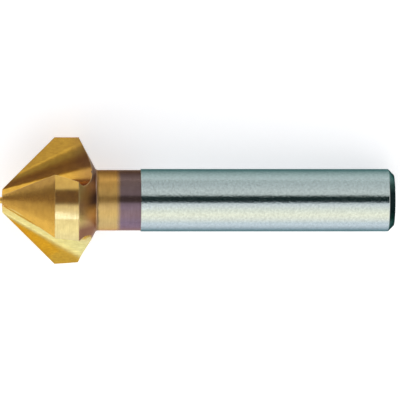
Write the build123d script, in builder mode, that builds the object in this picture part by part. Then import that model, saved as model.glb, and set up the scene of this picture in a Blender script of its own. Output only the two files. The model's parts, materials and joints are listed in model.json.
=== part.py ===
"""A three-flute 90 degree countersink bit with a plain straight shank, lying on its side.

The bit is ground from one bar of high speed steel. It is drawn standing on its shank and is
laid down at the end, on the front corner of one land, the heel of the next land and the rim
of its shank. Angles across the bit are counted from a cutting edge, towards the flute in
front of it.
"""

from build123d import *
from math import acos, atan2, cos, degrees, hypot, radians, sin, sqrt, tan
import os

# Driving dimensions, in millimetres and degrees
overall_length = 63.0
shank_diameter = 10.0
shank_chamfer = 0.9
chamfer_round = 0.3
neck_diameter = 9.68
neck_length = 7.1
neck_fillet = 0.5
head_diameter = 20.5
land_length = 3.75  # the cylindrical part of the head
point_angle = 90.0
back_angle = 124.0
nose_diameter = 3.9
nose_angle = 172.0  # the end of the cone is ground almost flat
pip_diameter = 1.05  # the pip left standing in the middle of it
pip_length = 0.46
pip_angle = 140.0

flute_count = 3
rake_angle = 17.5  # how far the cutting face leans in under its edge
nose_core = 0.7  # radius of steel inside the flutes just above the nose
neck_core = 6.5  # the same where the head meets the neck
nose_hollow = 2.1  # radius of a flute's hollow above the nose
neck_hollow = 7.7
nose_foot = 1.4  # radius that joins the cutting face to the hollow, above the nose
neck_foot = 3.4
nose_turn = 39.5  # direction in which the hollow lies above the nose
neck_turn = 22.5
hollow_end = 153.0  # direction, from its own middle, in which the hollow ends at its crest
heel_facet = 64.0  # direction of the flat from the crest out to the heel of the land

land_relief = 0.2  # how far a land falls away from its cutting edge to its heel
land_width = 59.0
relief_lead = 25.0  # overrun of the relief into the flutes on either side
overrun = 0.3  # how far a cut passes the ends of what it cuts

# Sizes that follow from them
shank_radius = shank_diameter / 2
neck_radius = neck_diameter / 2
head_radius = head_diameter / 2
nose_radius = nose_diameter / 2
pip_radius = pip_diameter / 2
point_slope = tan(radians(point_angle / 2))
back_slope = tan(radians(back_angle / 2))

pip_base = overall_length - pip_length
pip_shoulder = overall_length - pip_radius / tan(radians(pip_angle / 2))
nose_base = pip_base - (nose_radius - pip_radius) / tan(radians(nose_angle / 2))
land_top = nose_base - (head_radius - nose_radius) / point_slope
land_bottom = land_top - land_length
neck_top = land_bottom - (head_radius - neck_radius) / back_slope
neck_bottom = neck_top - neck_length


def direction(angle):
    """The unit vector at an angle in the plane across the bit."""
    return Vector(cos(radians(angle)), sin(radians(angle)))


def flute_section(height, core, hollow, turn):
    """Corners of a flute: end and foot of its face, middle and crest of its hollow, end of its facet."""
    edge = nose_radius + (nose_base - height) * point_slope
    face = direction(rake_angle)
    clear = direction(rake_angle + 90)
    face_offset = -edge * sin(radians(rake_angle))
    centre = direction(turn) * (core + hollow)
    foot_depth = centre.dot(face) - sqrt(hollow**2 - (centre.dot(clear) - face_offset) ** 2)
    foot = face * foot_depth + clear * face_offset
    crest = centre + direction(hollow_end) * hollow
    middle = centre - direction(turn) * hollow
    return foot + face * head_diameter, foot, middle, crest, crest + direction(heel_facet) * head_diameter


# The turned blank: shank, neck, head and nose
with BuildPart() as blank:
    with BuildSketch(Plane.XZ) as section:
        with BuildLine():
            Polyline(
                (0, 0),
                (shank_radius - shank_chamfer, 0),
                (shank_radius, shank_chamfer),
                (shank_radius, neck_bottom),
                (neck_radius, neck_bottom),
                (neck_radius, neck_top),
                (head_radius, land_bottom),
                (head_radius, land_top),
                (nose_radius, nose_base),
                (pip_radius, pip_base),
                (pip_radius, pip_shoulder),
                (0, overall_length),
                close=True,
            )
        make_face()
        fillet(section.vertices().sort_by_distance((neck_radius, neck_top))[0], neck_fillet)
        fillet(section.vertices().sort_by_distance((shank_radius, shank_chamfer))[0], chamfer_round)
    revolve(axis=Axis.Z)

# What grinding takes off the back of one land, turned about an axis beside that of the bit
relief_turn = 90 - land_width / 2
relief_shift = land_relief / (cos(radians(relief_turn)) - cos(radians(relief_turn + land_width)))
relief_axis = direction(relief_turn) * relief_shift
relief_radius = (Vector(head_radius, 0) - relief_axis).length
relief_point = land_top + relief_radius / point_slope
relief_start = direction(-land_width - relief_lead)

with BuildPart() as relief:
    with BuildSketch(Plane(relief_axis, x_dir=relief_start, z_dir=relief_start.cross(Vector(0, 0, 1)))):
        with BuildLine():
            Polyline(
                (relief_radius, land_bottom - overrun),
                (relief_radius, land_top),
                (0, relief_point),
                (head_diameter, relief_point),
                (head_diameter, land_bottom - overrun),
                close=True,
            )
        make_face()
    revolve(axis=Axis(relief_axis, (0, 0, 1)), revolution_arc=land_width + 2 * relief_lead)

# What the grinding wheel takes out of one flute, which widens and shallows towards the shank
with BuildPart() as flute:
    for height, core, hollow, turn, foot_round in (
        (overall_length + overrun, nose_core, nose_hollow, nose_turn, nose_foot),
        (neck_top - overrun, neck_core, neck_hollow, neck_turn, neck_foot),
    ):
        face_end, foot, middle, crest, facet_end = flute_section(height, core, hollow, turn)
        with BuildSketch(Plane.XY.offset(height)) as wheel:
            with BuildLine():
                Line(face_end, foot)
                ThreePointArc(foot, middle, crest)
                Polyline(crest, facet_end, face_end)
            make_face()
            fillet(wheel.vertices().sort_by_distance(foot)[0], foot_round)
    loft(ruled=True)

with BuildPart() as bit:
    add(blank.part)
    with PolarLocations(0, flute_count):
        add(relief.part, mode=Mode.SUBTRACT)
        add(flute.part, mode=Mode.SUBTRACT)


def lie_on(first, second):
    """The rise of the tip and the turn of the bit that put two corners and the shank's rim on the floor."""
    first_reach = first.Z - shank_chamfer
    second_reach = second.Z - shank_chamfer
    level = Vector(first.X, first.Y) / first_reach - Vector(second.X, second.Y) / second_reach
    rise = shank_radius * (1 / second_reach - 1 / first_reach)
    up_turn = degrees(atan2(level.Y, level.X) - acos(rise / level.length))
    return -(Vector(first.X, first.Y).dot(direction(up_turn)) + shank_radius) / first_reach, up_turn


# The bit lies on one corner from each side of a flute: the pair that holds the head highest
half_flute = 180 / flute_count - land_width / 2
rim_radius = (neck_radius + head_radius) / 2
corners = bit.vertices().filter_by(lambda v: v.Z > neck_top and hypot(v.X, v.Y) > rim_radius)
edge_corners = corners.filter_by(lambda v: abs(degrees(atan2(v.Y, v.X))) < half_flute)
heel_corners = corners.filter_by(lambda v: half_flute < degrees(atan2(v.Y, v.X)) < 3 * half_flute)
tip_up, up_turn = max(lie_on(edge, heel) for edge in edge_corners for heel in heel_corners)
up = (direction(up_turn) + Vector(0, 0, tip_up)).normalized()
floor = Plane((0, 0, 0), x_dir=up.cross(Vector(0, 0, 1)).cross(up) * -1, z_dir=up)

resting = floor.to_local_coords(bit.part)
box = resting.bounding_box()

with BuildPart() as countersink_bit:
    with Locations((-box.center().X, -box.center().Y, -box.min.Z)):
        add(resting)

os.makedirs("parts", exist_ok=True)
countersink_bit.part.label = "countersink_bit"
export_step(countersink_bit.part, "parts/countersink_bit.step")
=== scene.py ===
import json
from math import atan2, cos, pi, radians, sin

import bpy
from mathutils import Matrix, Vector


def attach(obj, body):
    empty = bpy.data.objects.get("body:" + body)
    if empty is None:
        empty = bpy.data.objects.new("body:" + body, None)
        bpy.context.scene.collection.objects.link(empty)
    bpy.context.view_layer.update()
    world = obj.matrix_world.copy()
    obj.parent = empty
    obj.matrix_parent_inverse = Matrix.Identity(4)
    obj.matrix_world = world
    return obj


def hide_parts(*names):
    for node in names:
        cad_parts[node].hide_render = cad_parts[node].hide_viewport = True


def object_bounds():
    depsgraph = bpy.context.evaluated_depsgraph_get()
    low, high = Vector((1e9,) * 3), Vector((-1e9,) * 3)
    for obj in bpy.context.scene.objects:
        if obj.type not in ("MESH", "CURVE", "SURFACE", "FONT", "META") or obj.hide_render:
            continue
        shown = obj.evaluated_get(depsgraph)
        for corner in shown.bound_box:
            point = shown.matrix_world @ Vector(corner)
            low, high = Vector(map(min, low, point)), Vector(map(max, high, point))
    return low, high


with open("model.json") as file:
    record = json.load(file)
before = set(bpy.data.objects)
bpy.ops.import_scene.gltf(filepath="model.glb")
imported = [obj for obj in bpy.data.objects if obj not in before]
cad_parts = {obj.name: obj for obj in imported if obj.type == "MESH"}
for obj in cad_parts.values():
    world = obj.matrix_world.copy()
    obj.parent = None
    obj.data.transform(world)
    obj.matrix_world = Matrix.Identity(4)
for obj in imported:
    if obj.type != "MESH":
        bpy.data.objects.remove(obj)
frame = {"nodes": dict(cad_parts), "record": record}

cadLow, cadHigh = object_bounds()  # the solid model's box, before anything is replaced

# the tool's own line, taken from the shank's mount
millimetres = 1000  # in a metre
shank = frame["record"]["mounts"][0]
toolAxis = Vector(shank["axis"]).normalized()  # from the point to the shank's end
shankMiddle = Vector(shank["pos_m"])
shankLength = shank["dims"]["length_mm"] / millimetres
tipToMiddle = (shankMiddle.x - cadLow.x) / toolAxis.x
toolTip = shankMiddle - toolAxis * tipToMiddle
shankFront = tipToMiddle - shankLength / 2  # where the bare shank starts, from the tip


def deselectAll():
    if bpy.context.mode != "OBJECT":
        bpy.ops.object.mode_set(mode="OBJECT")
    bpy.ops.object.select_all(action="DESELECT")


def selectOnly(piece):
    deselectAll()
    piece.select_set(True)
    bpy.context.view_layer.objects.active = piece


# the camera looks down on the tool, with the tip to the left

camera = {
    "leanBack": 9.0,  # degrees from straight above towards +Y
    "leanAlong": 2.0,  # and towards the shank's end
    "distance": 0.72,
    "pixelsPerMetre": 6280.0,
    "tipBeyondFrame": 1.2,  # pixels of the tip cut off by the frame's left side
    "axisBelowCentre": 0.2,  # pixels
    "frameSize": 400.0,
    "sensorWidth": 36.0,
    "clip": (0.01, 20),  # the nearest and the furthest that it sees
}


def addCamera(c):
    lean, along = radians(c["leanBack"]), radians(c["leanAlong"])
    toCamera = Vector((sin(along), cos(along) * sin(lean), cos(along) * cos(lean)))
    right = (toolAxis - toolAxis.dot(toCamera) * toCamera).normalized()
    up = toCamera.cross(right)
    tipFromCentre = c["frameSize"] / 2 + c["tipBeyondFrame"]
    target = toolTip + right * tipFromCentre / c["pixelsPerMetre"]
    target += up * c["axisBelowCentre"] / c["pixelsPerMetre"]
    data = bpy.data.cameras.new("camera")
    data.sensor_width = c["sensorWidth"]
    data.lens = c["sensorWidth"] * c["distance"] * c["pixelsPerMetre"] / c["frameSize"]
    data.clip_start, data.clip_end = c["clip"]
    seen = bpy.data.objects.new("camera", data)
    bpy.context.scene.collection.objects.link(seen)
    turn = Matrix((right, up, toCamera)).transposed().to_4x4()
    seen.matrix_world = Matrix.Translation(target + toCamera * c["distance"]) @ turn
    bpy.context.scene.camera = seen


addCamera(camera)
print("camera placed")

# what the materials and the world share

noiseLow, noiseHigh = 0.3, 0.7  # nearly all of a noise lies between these
sideSpan = 10.0  # millimetres across the tool that side tones are spread over


def newMaterial(name):
    made = bpy.data.materials.new(name)
    made.use_nodes = True
    tree = made.node_tree
    tree.nodes.clear()
    return made, tree


def addNode(tree, kind, settings=None, **inputs):
    # an input goes by its socket's name, or by n and the socket's number
    node = tree.nodes.new(kind)
    for name, value in (settings or {}).items():
        setattr(node, name, value)
    for name, value in inputs.items():
        numbered = name[0] == "n" and name[1:].isdigit()
        socket = node.inputs[int(name[1:]) if numbered else name]
        if isinstance(value, bpy.types.NodeSocket):
            tree.links.new(value, socket)
        else:
            socket.default_value = value
    return node


def calc(tree, operation, first, second=0.0, clamp=False):
    settings = {"operation": operation, "use_clamp": clamp}
    return addNode(tree, "ShaderNodeMath", settings, n0=first, n1=second).outputs[0]


def rgba(*colour):
    return (*colour, 1)


def ramp(tree, place, stops):
    node = addNode(tree, "ShaderNodeValToRGB", Fac=place)
    elements = node.color_ramp.elements
    while len(elements) < len(stops):
        elements.new(0.5)
    for element, (position, colour) in zip(elements, stops):
        element.position = position
        element.color = rgba(*colour)
    return node.outputs["Color"]


def mixColour(tree, factor, first, second, kind="MIX"):
    settings = {"data_type": "RGBA", "blend_type": kind}
    return addNode(tree, "ShaderNodeMix", settings, n0=factor, n6=first, n7=second).outputs[2]


def multiply(tree, colour, tones):
    return mixColour(tree, 1.0, colour, tones, "MULTIPLY")


def blend(tree, value, start, end):
    # 0 below start, 1 above end, smooth between
    settings = {"interpolation_type": "SMOOTHSTEP"}
    limits = {"From Min": start, "From Max": end}
    return addNode(tree, "ShaderNodeMapRange", settings, Value=value, **limits).outputs[0]


def noise(tree, place, scale, detail, roughness):
    node = addNode(tree, "ShaderNodeTexNoise",
                   Vector=place, Scale=scale, Detail=detail, Roughness=roughness)
    return node.outputs[0]


def noiseTones(tree, value, low, high):
    return ramp(tree, value, [(noiseLow, low), (noiseHigh, high)])


def bump(tree, height, distance, normal=None):
    node = addNode(tree, "ShaderNodeBump", Strength=1.0, Distance=distance, Height=height)
    if normal is not None:
        tree.links.new(normal, node.inputs["Normal"])
    return node.outputs[0]


def parts(tree, vector):
    return addNode(tree, "ShaderNodeSeparateXYZ", Vector=vector).outputs


def toolPlace(tree):
    # millimetres along the tool from its tip, towards its back, and up
    coordinates = addNode(tree, "ShaderNodeTexCoord").outputs["Object"]
    turn = atan2(toolAxis.z, toolAxis.x)
    tipTurned = Matrix.Rotation(turn, 3, "Y") @ toolTip * millimetres
    mapping = addNode(tree, "ShaderNodeMapping", Vector=coordinates, Location=-tipTurned,
                      Rotation=(0, turn, 0), Scale=(millimetres,) * 3)
    return mapping.outputs[0]


def acrossShare(tree, side):
    # 0 to 1 from the tool's front side to its back
    return calc(tree, "ADD", calc(tree, "DIVIDE", side, sideSpan), 0.5)


def acrossRamp(tree, share, tones):
    return ramp(tree, share, [(side / sideSpan + 0.5, tone) for side, tone in tones])


def finishMaterial(tree, shader):
    addNode(tree, "ShaderNodeOutputMaterial", Surface=shader.outputs[0])


# bare ground steel, for the shank

steel = {
    "name": "groundSteel",
    "colour": (0.57, 0.62, 0.62),
    "spread": 0.14,  # how far the mottling goes either way
    "edgeColour": (0.26, 0.38, 0.38),  # towards the rim, where the metal is seen at a flat angle
    "roughness": (0.0825, 0.1375),  # from the one to the other with the grit
    "sideTones": [  # painted shade: millimetres towards the back, and how much of the colour is left there
        (-5.0, (0.42, 0.46, 0.52)),
        (-4.3, (0.56, 0.62, 0.70)),
        (-3.3, (0.88, 0.94, 1.0)),
        (-2.4, (1.0, 1.0, 1.0)),
        (2.2, (0.97, 0.99, 0.99)),
        (3.4, (0.72, 0.79, 0.79)),
        (4.3, (0.52, 0.62, 0.61)),
        (5.0, (0.33, 0.43, 0.42)),
    ],
    "mottle": (2.4, 5.0, 0.65),  # the noise's scale, detail and roughness
    "mottleHeight": 0.000019,
    "grit": (6.0, 3.0, 0.5),
    "gritHeight": 0.0000035,
}

# the chamfer at the shank's end is nearly black across its middle and lighter towards both sides

darkChamfer = {
    "name": "darkChamferSteel",
    "colour": (0.57, 0.62, 0.62),
    "spread": 0.14,
    "edgeColour": (0.10, 0.14, 0.14),
    "roughness": (0.15, 0.25),
    "sideTones": [
        (-4.8, (0.34, 0.40, 0.42)),
        (-3.6, (0.26, 0.34, 0.33)),
        (-2.3, (0.05, 0.08, 0.07)),
        (-1.2, (0.02, 0.03, 0.03)),
        (1.8, (0.02, 0.03, 0.03)),
        (3.0, (0.07, 0.11, 0.10)),
        (4.0, (0.26, 0.36, 0.34)),
        (4.8, (0.50, 0.62, 0.60)),
    ],
    "mottle": (2.4, 5.0, 0.65),
    "mottleHeight": 0.000019,
    "grit": (6.0, 3.0, 0.5),
    "gritHeight": 0.0000035,
}


def steelMaterial(s):
    made, tree = newMaterial(s["name"])
    place = toolPlace(tree)
    side = parts(tree, place)[1]
    mottle = noise(tree, place, *s["mottle"])
    grit = noise(tree, place, *s["grit"])
    dark = [v * (1 - s["spread"]) for v in s["colour"]]
    light = [v * (1 + s["spread"]) for v in s["colour"]]
    shade = noiseTones(tree, mottle, dark, light)
    # painted tones across the tool: on the shank, painted shade towards both sides
    shade = multiply(tree, shade, acrossRamp(tree, acrossShare(tree, side), s["sideTones"]))
    smooth, rough = s["roughness"]
    roughness = addNode(tree, "ShaderNodeMapRange",
                        **{"Value": grit, "To Min": smooth, "To Max": rough}).outputs[0]
    relief = bump(tree, grit, s["gritHeight"], bump(tree, mottle, s["mottleHeight"]))
    finishMaterial(tree, addNode(tree, "ShaderNodeBsdfPrincipled", **{
        "Base Color": shade, "Metallic": 1.0, "Roughness": roughness,
        "Specular Tint": rgba(*s["edgeColour"]), "Normal": relief}))
    return made


# gold coat, for the head and the neck

coat = {
    "length": 25.0,  # millimetres that the tones below are spread over, from the tip
    # each row is millimetres from the tip, the coat's colour on the front side and on the back,
    # the dull red-brown of its grain, and how rough it is
    # the front and back colours are painted light and shade: paler on the front, deeper and
    # darker behind
    "turnedTones": [
        (0.0, (0.78, 0.48, 0.085), (0.44, 0.27, 0.075), (0.86, 0.36, 0.08), 0.15),  # cone
        (8.8, (0.78, 0.48, 0.085), (0.44, 0.27, 0.075), (0.86, 0.36, 0.08), 0.15),
        (8.9, (0.70, 0.68, 0.38), (0.84, 0.54, 0.13), (1.0, 0.42, 0.12), 0.11),  # land
        (12.55, (0.70, 0.68, 0.38), (0.84, 0.54, 0.13), (1.0, 0.42, 0.12), 0.11),
        (12.7, (0.52, 0.33, 0.22), (0.38, 0.25, 0.14), (0.12, 0.08, 0.05), 0.25),  # back cone: brown-plum coat, darkened further by painted shade
        (15.2, (0.36, 0.22, 0.16), (0.24, 0.14, 0.12), (0.06, 0.04, 0.04), 0.25),
        # painted shade over the neck's fillet
        (15.75, (0.30, 0.22, 0.11), (0.30, 0.18, 0.06), (0.30, 0.14, 0.05), 0.28),
        (15.95, (0.57, 0.46, 0.22), (0.62, 0.36, 0.090), (0.80, 0.33, 0.060), 0.28),  # neck
        (18.6, (0.57, 0.46, 0.22), (0.62, 0.36, 0.090), (0.80, 0.33, 0.060), 0.28),
        (19.4, (0.22, 0.16, 0.25), (0.17, 0.12, 0.11), (0.24, 0.13, 0.10), 0.20),  # plum tint
    ],
    # painted light: the flutes' front walls are painted pale; the back darkens towards 14 mm as
    # painted shade
    "fluteTones": [
        (0.0, (0.83, 0.79, 0.35), (0.80, 0.47, 0.07), (0.80, 0.33, 0.09), 0.14),
        (11.0, (0.83, 0.79, 0.35), (0.80, 0.47, 0.07), (0.75, 0.31, 0.09), 0.14),
        (14.0, (0.83, 0.79, 0.37), (0.54, 0.30, 0.07), (0.50, 0.22, 0.12), 0.20),
    ],
    "turnedSides": (-4.0, 5.0),  # the front side's painted light goes over to the back's painted shade between these
    "fluteSides": (-4.0, 2.2),
    "waver": 0.3,  # millimetres that the mottling moves the borders of the tones
    "cuttingFace": (0.81, 0.52, 0.06),  # on the front side, in place of the painted pale front colour
    # painted reflections and shade on the back cone, darkest in the middle beside the neck
    "reflectionFrom": (12.62, 12.70),  # it sets in between these, in millimetres from the tip,
    "reflectionTo": (15.44, 15.52),  # ends between these,
    "landToNeck": (12.4, 15.2),  # and goes over from the first row of stains to the second
    "besideLand": [(-3.4, "brown"), (-1.3, "straw"), (0.6, "dullStraw"), (2.3, "straw"),
                   (3.6, "straw"), (4.7, "umber")],
    "besideNeck": [(-3.6, "brown"), (-1.6, "copper"), (-0.9, "dullStraw"), (0.5, "black"),
                   (1.4, "black"), (2.9, "mauve"), (4.4, "umber")],
    "reflectionTones": {
        "straw": (0.93, 0.78, 0.27),
        "dullStraw": (0.76, 0.54, 0.26),
        "copper": (0.86, 0.57, 0.27),
        "brown": (0.28, 0.14, 0.10),
        "umber": (0.15, 0.10, 0.08),
        "mauve": (0.45, 0.34, 0.30),
        "black": (0.08, 0.06, 0.08),
    },
    "neckFrom": (15.6, 15.9),
    "neckTones": [  # painted shade: how much of the colour is left along the neck's sides
        (-4.8, (0.9, 0.7, 0.9)),
        (-4.2, (1.0, 1.0, 1.0)),
        (3.7, (1.0, 1.0, 1.0)),
        (4.3, (0.50, 0.50, 0.55)),
        (4.8, (0.16, 0.16, 0.20)),
    ],
    "mottle": (0.9, 5.0, 0.6),  # the noise's scale, detail and roughness
    "mottleTones": ((0.92, 0.90, 0.88), (1.05, 1.06, 1.08)),
    "ringMarks": (9.0, 3.0, 0.7),
    "fluteMarks": (5.4, 3.0, 0.7),
    "markTones": ((0.86, 0.84, 0.80), (1.08, 1.08, 1.08)),
    "markStretch": 0.05,  # the smaller, the longer the marks
    "markHeight": 0.0000015,
    "edgeRadius": 0.00009,  # the edges are honed this round
    "edgeSamples": 8,
    "edgeBend": (0.005, 0.12),  # how far the honed surface has turned where it starts to shine
    "edgeWearAndHighlight": (0.95, 0.80, 0.42),
    "edgeShare": 0.4,
    "flatTint": (0.75, 0.60, 0.50),  # where the coat is seen at a flat angle
    "grainShare": 0.2,
    "grainTones": ((0.80, 0.75, 0.90), (1.15, 1.2, 1.05)),
}


def paintedBackConeLight(tree, g, shade, along, side):
    # painted reflections and shade on the back cone, and painted shade on the neck's sides
    across = acrossShare(tree, side)
    besideLand, besideNeck = [
        acrossRamp(tree, across, [(place, g["reflectionTones"][reflected]) for place, reflected in g[row]])
        for row in ("besideLand", "besideNeck")]
    reflected = mixColour(tree, blend(tree, along, *g["landToNeck"]), besideLand, besideNeck)
    beforeNeck = calc(tree, "SUBTRACT", 1.0, blend(tree, along, *g["reflectionTo"]))
    onBackCone = calc(tree, "MULTIPLY", blend(tree, along, *g["reflectionFrom"]), beforeNeck)
    shade = mixColour(tree, onBackCone, shade, reflected)
    neckShade = multiply(tree, shade, acrossRamp(tree, across, g["neckTones"]))
    return mixColour(tree, blend(tree, along, *g["neckFrom"]), shade, neckShade)


def coatMarks(tree, g, turned, along, side, height):
    # fine marks: rings on what was turned, straight lines in the flutes
    if turned:
        squares = [calc(tree, "MULTIPLY", part, part) for part in (side, height)]
        place = addNode(tree, "ShaderNodeCombineXYZ", X=along,
                        Y=calc(tree, "SQRT", calc(tree, "ADD", *squares)),
                        Z=calc(tree, "MULTIPLY", side, g["markStretch"]))
        return noise(tree, place.outputs[0], *g["ringMarks"])
    place = addNode(tree, "ShaderNodeCombineXYZ", Y=side, Z=height,
                    X=calc(tree, "MULTIPLY", along, g["markStretch"]))
    return noise(tree, place.outputs[0], *g["fluteMarks"])


def goldMaterial(g, name, turned):
    made, tree = newMaterial(name)
    place = toolPlace(tree)
    along, side, height = parts(tree, place)
    mottle = noise(tree, place, *g["mottle"])
    waver = calc(tree, "MULTIPLY", calc(tree, "SUBTRACT", mottle, 0.5), g["waver"])
    spot = calc(tree, "DIVIDE", calc(tree, "ADD", along, waver), g["length"])
    rows = g["turnedTones" if turned else "fluteTones"]
    front, back, dull = [ramp(tree, spot, [(row[0] / g["length"], row[column]) for row in rows])
                         for column in (1, 2, 3)]
    roughness = ramp(tree, spot, [(row[0] / g["length"], (row[4],) * 3) for row in rows])
    if not turned:
        cutting = addNode(tree, "ShaderNodeAttribute", {"attribute_name": "cuttingFace"})
        front = mixColour(tree, cutting.outputs["Fac"], front, rgba(*g["cuttingFace"]))
    toBack = blend(tree, side, *g["turnedSides" if turned else "fluteSides"])
    shade = mixColour(tree, toBack, front, back)
    if turned:
        shade = paintedBackConeLight(tree, g, shade, along, side)
    marks = coatMarks(tree, g, turned, along, side, height)
    shade = multiply(tree, shade, noiseTones(tree, marks, *g["markTones"]))
    shade = multiply(tree, shade, noiseTones(tree, mottle, *g["mottleTones"]))

    # the honed edges are painted brighter: partly the coat worn at the edges, partly a painted
    # highlight
    honed = addNode(tree, "ShaderNodeBevel", {"samples": g["edgeSamples"]},
                    Radius=g["edgeRadius"]).outputs[0]
    flat = addNode(tree, "ShaderNodeNewGeometry").outputs["Normal"]
    agree = addNode(tree, "ShaderNodeVectorMath", {"operation": "DOT_PRODUCT"},
                    n0=honed, n1=flat).outputs["Value"]
    nearEdge = blend(tree, calc(tree, "SUBTRACT", 1.0, agree), *g["edgeBend"])
    nearEdge = calc(tree, "MULTIPLY", nearEdge, g["edgeShare"])
    shade = mixColour(tree, nearEdge, shade, rgba(*g["edgeWearAndHighlight"]))

    polished = addNode(tree, "ShaderNodeBsdfPrincipled", **{
        "Base Color": shade, "Metallic": 1.0, "Roughness": roughness,
        "Specular Tint": rgba(*g["flatTint"]),
        "Normal": bump(tree, marks, g["markHeight"], honed)})
    grainShade = multiply(tree, dull, noiseTones(tree, mottle, *g["grainTones"]))
    grain = addNode(tree, "ShaderNodeBsdfDiffuse", Color=grainShade)
    finishMaterial(tree, addNode(tree, "ShaderNodeMixShader", n0=g["grainShare"],
                                 n1=polished.outputs[0], n2=grain.outputs[0]))
    return made


# the bit: a merged copy of the solid's mesh, no vertex moved, with its own finishes

bitPiece = {
    # millimetres from the tip, and the radius the bar was turned to there
    "profile": [(0.0, 0.5), (0.56, 1.95), (8.86, 10.25), (12.61, 10.25), (15.49, 4.84),
                (22.6, 4.84)],
    "mergeDistance": 1e-7,
    "fluteDepth": 0.35,  # millimetres: a face further in than this was ground, not turned
    "turnedSkew": 0.12,  # and so was one that faces further round the tool than this
    "chamferLean": (0.3, 0.95),  # how far the faces of the shank's chamfer look along the tool
    "cuttingLean": (0.05, -0.28),  # the outward leans where a cutting face starts and is full
}


def turnedRadius(b, along):
    for (start, first), (end, last) in zip(b["profile"], b["profile"][1:]):
        if along <= end:
            return first + (last - first) * (along - start) / (end - start)
    return last


def mergeMesh(b):
    # the seams between the solid's faces become the sharp edges of the merged mesh
    bpy.ops.mesh.customdata_custom_splitnormals_clear()
    bpy.ops.object.mode_set(mode="EDIT")
    bpy.ops.mesh.select_mode(type="EDGE")
    bpy.ops.mesh.select_all(action="SELECT")
    bpy.ops.mesh.mark_sharp(clear=True)
    bpy.ops.mesh.select_all(action="DESELECT")
    bpy.ops.mesh.select_non_manifold()
    bpy.ops.mesh.mark_sharp()
    bpy.ops.mesh.select_all(action="SELECT")
    bpy.ops.mesh.remove_doubles(threshold=b["mergeDistance"])
    bpy.ops.object.mode_set(mode="OBJECT")
    bpy.ops.object.shade_smooth()


def faceFinish(b, face):
    along = (face.center - toolTip).dot(toolAxis)
    if along > shankFront:
        least, most = b["chamferLean"]
        return "darkEnd" if least < face.normal.dot(toolAxis) < most else "steel"
    outward = face.center - toolTip - toolAxis * along
    around = toolAxis.cross(outward).normalized()
    depth = turnedRadius(b, along * millimetres) - outward.length * millimetres
    square = abs(face.normal.dot(around)) < b["turnedSkew"]
    return "turned" if square and depth < b["fluteDepth"] else "flute"


def markCuttingFaces(b, bit):
    # 1 on the three cutting faces, fading out over the round at their foot
    none, full = b["cuttingLean"]
    bit.data.update()
    mark = bit.data.attributes.new("cuttingFace", "FLOAT", "CORNER")
    for corner, normal in zip(bit.data.loops, bit.data.corner_normals):
        place = bit.data.vertices[corner.vertex_index].co - toolTip
        outward = (place - toolAxis * place.dot(toolAxis)).normalized()
        forward = outward.cross(toolAxis)  # the way that the edges cut
        share = min(max((none - normal.vector.dot(outward)) / (none - full), 0), 1)
        mark.data[corner.index].value = share if normal.vector.dot(forward) > 0 else 0


def makeBit(b):
    node = frame["nodes"]["countersink_bit"]
    bit = bpy.data.objects.new("countersink", node.data.copy())
    bpy.context.scene.collection.objects.link(bit)
    selectOnly(bit)
    mergeMesh(b)
    finishes = {
        "turned": goldMaterial(coat, "goldTurned", True),
        "flute": goldMaterial(coat, "goldFlute", False),
        "steel": steelMaterial(steel),
        "darkEnd": steelMaterial(darkChamfer),
    }
    bit.data.materials.clear()
    for made in finishes.values():
        bit.data.materials.append(made)
    order = list(finishes)
    for face in bit.data.polygons:
        face.material_index = order.index(faceFinish(b, face))
    markCuttingFaces(b, bit)
    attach(bit, "root")
    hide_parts("countersink_bit")
    return bit


bit = makeBit(bitPiece)
print("bit made,", len(bit.data.polygons), "faces")

# a pale floor that keeps the tool's shadow

paleFloor = {
    "size": 6.0,
    "colour": (0.88, 0.88, 0.92),
    "glow": 0.50,  # only where it is looked at, straight or in the metal
}


def addFloor(p):
    bpy.ops.mesh.primitive_plane_add(size=p["size"], location=(0, 0, 0))
    floor = bpy.context.object
    floor.name = "floor"
    made, tree = newMaterial("paleFloor")
    diffuse = addNode(tree, "ShaderNodeBsdfDiffuse", Color=rgba(*p["colour"])).outputs[0]
    glow = addNode(tree, "ShaderNodeEmission", Color=rgba(1, 1, 1), Strength=p["glow"])
    both = addNode(tree, "ShaderNodeAddShader", n0=diffuse, n1=glow.outputs[0])
    path = addNode(tree, "ShaderNodeLightPath").outputs
    seen = calc(tree, "ADD", path["Is Camera Ray"], path["Is Glossy Ray"], clamp=True)
    seen = calc(tree, "ADD", seen, path["Is Transmission Ray"], clamp=True)
    finishMaterial(tree, addNode(tree, "ShaderNodeMixShader", n0=seen, n1=diffuse,
                                 n2=both.outputs[0]))
    floor.data.materials.append(made)


# soft light from all round, which the camera itself sees as plain white

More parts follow.
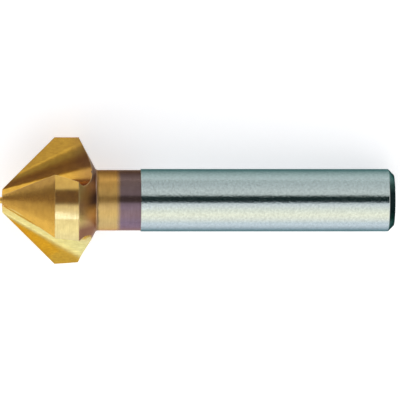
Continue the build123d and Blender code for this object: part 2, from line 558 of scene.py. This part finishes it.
softLight = {
    "brightest": 2.0,  # the ramps hold the colours below as shares of this
    # the light falls in four belts, one after another along X from the point's side to the
    # shank's side; in each it changes with the angle about the tool's line: -90 is the horizon
    # at the back, 0 straight up, 90 the horizon in front
    "tipLight": [
        (-90, (0.11, 0.12, 0.12)), (-60, (0.13, 0.12, 0.12)), (-20, (0.22, 0.18, 0.16)),
        (22, (0.24, 0.20, 0.17)), (35, (0.36, 0.32, 0.28)), (45, (0.57, 0.53, 0.49)),
        (60, (0.72, 0.69, 0.65)), (90, (0.82, 0.80, 0.76)),
    ],
    "flankLight": [
        (-90, (0.60, 0.54, 0.30)), (-84, (0.18, 0.14, 0.14)), (-70, (0.16, 0.13, 0.20)),
        (-55, (0.11, 0.08, 0.12)), (-40, (0.18, 0.16, 0.20)), (-28, (0.28, 0.32, 0.38)),
        (-17, (0.36, 0.38, 0.40)), (-12, (0.46, 0.48, 0.48)), (-9, (0.88, 0.92, 0.86)),
        (-5, (0.88, 0.92, 0.86)), (-3, (0.45, 0.45, 0.45)), (0, (0.43, 0.43, 0.43)),
        (15, (0.90, 0.90, 0.90)), (45, (1.12, 1.14, 1.08)), (90, (1.08, 1.12, 1.05)),
    ],
    "mainLight": [
        (-90, (0.95, 0.97, 0.97)), (-72, (0.82, 0.85, 0.85)), (-60, (0.80, 0.84, 0.84)),
        (-31, (0.78, 0.82, 0.80)), (-28, (0.72, 0.76, 0.74)), (-24.5, (0.12, 0.15, 0.14)),
        (-22, (0.0, 0.015, 0.015)), (-3.5, (0.0, 0.015, 0.015)), (-0.5, (0.12, 0.15, 0.17)),
        (2.5, (0.76, 0.80, 0.84)), (5, (0.94, 0.98, 1.0)), (12, (1.0, 1.02, 1.02)),
        (27, (1.16, 1.16, 1.02)), (48, (1.38, 1.32, 1.08)), (66, (1.20, 1.18, 1.06)),
        (90, (0.95, 1.0, 1.05)),
    ],
    "rearLight": [
        (-90, (0.58, 0.58, 0.58)), (-40, (0.72, 0.72, 0.70)), (-25, (0.75, 0.75, 0.73)),
        (-5, (0.86, 0.86, 0.84)), (10, (0.95, 0.96, 0.92)), (30, (1.08, 1.08, 1.02)),
        (90, (1.0, 1.0, 1.0)),
    ],
    # the parts of a direction along X between which each next belt takes over
    "flankFrom": (-0.90, -0.65),
    "mainFrom": (-0.08, 0.03),
    "rearFrom": (0.22, 0.42),
}


def beltLight(tree, angle, stops, brightest):
    share = calc(tree, "ADD", calc(tree, "DIVIDE", angle, pi), 0.5)
    return ramp(tree, share, [((degrees + 90) / 180, [v / brightest for v in colour])
                              for degrees, colour in stops])


def addWorld(w):
    world = bpy.data.worlds.new("softWorld")
    bpy.context.scene.world = world
    world.use_nodes = True
    tree = world.node_tree
    tree.nodes.clear()
    direction = addNode(tree, "ShaderNodeTexCoord").outputs["Generated"]
    alongX, acrossY, upZ = parts(tree, direction)
    angle = calc(tree, "ARCTAN2", calc(tree, "MULTIPLY", acrossY, -1.0), upZ)
    colour = beltLight(tree, angle, w["tipLight"], w["brightest"])
    for belt in ("flank", "main", "rear"):
        share = blend(tree, alongX, *w[belt + "From"])
        nextBelt = beltLight(tree, angle, w[belt + "Light"], w["brightest"])
        colour = mixColour(tree, share, colour, nextBelt)
    light = addNode(tree, "ShaderNodeBackground", Color=colour, Strength=w["brightest"])
    white = addNode(tree, "ShaderNodeBackground", Color=rgba(1, 1, 1), Strength=1.0)
    path = addNode(tree, "ShaderNodeLightPath").outputs
    mix = addNode(tree, "ShaderNodeMixShader", n0=path["Is Camera Ray"],
                  n1=light.outputs[0], n2=white.outputs[0])
    addNode(tree, "ShaderNodeOutputWorld", Surface=mix.outputs[0])


# a narrow lamp close over the head, for the highlight along the top land

softbox = {
    "location": (-0.0105, -0.0537, 0.159),
    "aim": (-0.0210, -0.0025, 0.0185),
    "size": (0.006, 0.040),
    "colour": (0.50, 0.60, 1.0),
    "power": 0.00150,
}


def addSoftbox(s):
    away = Vector(s["location"]) - Vector(s["aim"])
    bpy.ops.object.light_add(type="AREA", location=s["location"],
                             rotation=away.to_track_quat("Z", "Y").to_euler())
    lamp = bpy.context.object
    lamp.name = "softbox"
    lamp.data.shape = "RECTANGLE"
    lamp.data.size, lamp.data.size_y = s["size"]
    lamp.data.color = s["colour"]
    lamp.data.energy = s["power"]


deselectAll()
addFloor(paleFloor)
addWorld(softLight)
addSoftbox(softbox)
bpy.context.scene.view_settings.view_transform = "Standard"
print("floor and light made")
